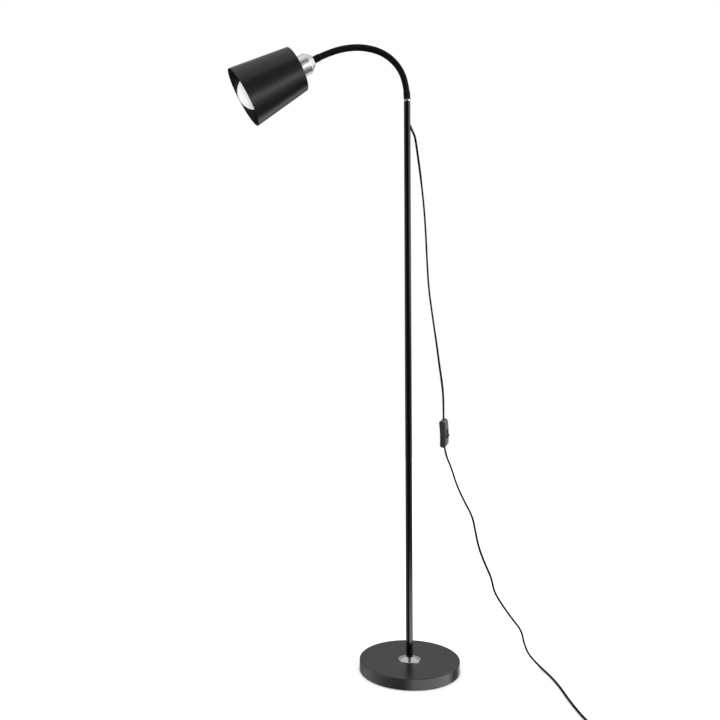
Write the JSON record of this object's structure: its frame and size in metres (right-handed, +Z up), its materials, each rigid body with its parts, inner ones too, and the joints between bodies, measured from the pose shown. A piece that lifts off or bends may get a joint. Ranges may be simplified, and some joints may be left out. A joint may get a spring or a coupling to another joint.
{
  "type": "gooseneck reading floor lamp",
  "caption": "Free-standing reading lamp: round weighted base, slim straight pole, gooseneck and bucket shade with a screw-in bulb, switch on the cord.",
  "frame": {"origin": "centre of the base's underside, on the floor", "axes": "+Z up along the pole; the neck bows towards -X and the shade hangs there; the cord leaves the pole towards +X"},
  "size_m": [0.7887, 0.535, 1.4847],
  "materials": {
    "gloss_black": "gloss black powder coat",
    "satin_black": "satin black powder coat",
    "neck_skin": "matte black",
    "chrome": "polished",
    "cast_iron": "as cast",
    "foam_pad": "soft closed foam",
    "steel": "plated",
    "brass": "bare",
    "lead_insulation": "matte",
    "holder_plastic": "matte black",
    "opal_glass": "opal white",
    "white_plastic": "satin white",
    "cap_metal": "rolled",
    "switch_plastic": "semi-gloss black",
    "cord_black": "matte black",
    "plug_black": "matte black"
  },
  "bodies": {
    "stand": {"base_cover": "gloss_black", "base_weight": "cast_iron", "base_pad": "foam_pad", "base_collar": "chrome", "base_bolt": "steel", "base_washer": "steel", "tube_inserts": "steel", "tube_nipples": "brass", "cord_boot": "cord_black", "neck_ring": "chrome", "neck_stud": "brass", "pole_lead": "lead_insulation", "switch_front": "switch_plastic", "switch_back": "switch_plastic", "switch_terminals": "brass", "switch_screws": "steel", "cord_upper": "cord_black", "cord_lower": "cord_black", "cord_coil": "cord_black", "coil_tie": "plug_black", "plug_boot": "cord_black", "plug_body": "plug_black", "plug_pins": "steel", "pole_tube_1": "gloss_black", "pole_tube_2": "gloss_black", "pole_tube_3": "gloss_black", "pole_tube_4": "gloss_black"},
    "neck_1": {"neck_sleeve_1": "neck_skin", "neck_core_1": "steel", "neck_lead_1": "lead_insulation"},
    "neck_2": {"neck_sleeve_2": "neck_skin", "neck_core_2": "steel", "neck_lead_2": "lead_insulation"},
    "neck_3": {"neck_sleeve_3": "neck_skin", "neck_core_3": "steel", "neck_lead_3": "lead_insulation"},
    "neck_4": {"neck_sleeve_4": "neck_skin", "neck_core_4": "steel", "neck_lead_4": "lead_insulation"},
    "neck_5": {"neck_sleeve_5": "neck_skin", "neck_core_5": "steel", "neck_lead_5": "lead_insulation"},
    "head": {"holder_cup": "chrome", "cup_stud": "brass", "cup_nut": "brass", "holder_dome": "holder_plastic", "holder_body": "holder_plastic", "holder_insert": "holder_plastic", "screw_shell": "brass", "centre_contact": "brass", "shade_ring": "holder_plastic", "lamp_shade": "satin_black", "bulb_globe": "opal_glass", "bulb_housing": "white_plastic", "bulb_cap": "cap_metal", "bulb_tip_contact": "brass", "neck_sleeve_6": "neck_skin", "neck_core_6": "steel", "neck_lead_6": "lead_insulation"},
    "rocker": {"switch_rocker": "switch_plastic"}
  },
  "joints": [
    {"name": "neck_swing", "type": "hinge", "parent": "stand", "child": "neck_1", "pos_m": [0, 0, 1.35], "axis": [0, 0, 1], "range_deg": [-90, 90]},
    {"name": "neck_bend_1", "type": "hinge", "parent": "neck_1", "child": "neck_2", "pos_m": [-0.00711, 0, 1.40261], "axis": [0, 1, 0], "range_deg": [-14, 22]},
    {"name": "neck_bend_2", "type": "hinge", "parent": "neck_2", "child": "neck_3", "pos_m": [-0.03405, 0, 1.4478], "axis": [0, 1, 0], "range_deg": [-14, 22]},
    {"name": "neck_bend_3", "type": "hinge", "parent": "neck_3", "child": "neck_4", "pos_m": [-0.08024, 0, 1.47304], "axis": [0, 1, 0], "range_deg": [-14, 22]},
    {"name": "neck_side_bend", "type": "hinge", "parent": "neck_4", "child": "neck_5", "pos_m": [-0.13312, 0, 1.47585], "axis": [-0.1288, 0, 0.9917], "range_deg": [-22, 22]},
    {"name": "neck_bend_4", "type": "hinge", "parent": "neck_5", "child": "head", "pos_m": [-0.18426, 0, 1.46167], "axis": [0, 1, 0], "range_deg": [-14, 22]},
    {"name": "switch_rocker_tilt", "type": "hinge", "parent": "stand", "child": "rocker", "pos_m": [0.09116, 0.00645, 0.53812], "axis": [0.5283, 0.7981, 0.2897], "range_deg": [0, 26]}
  ]
}
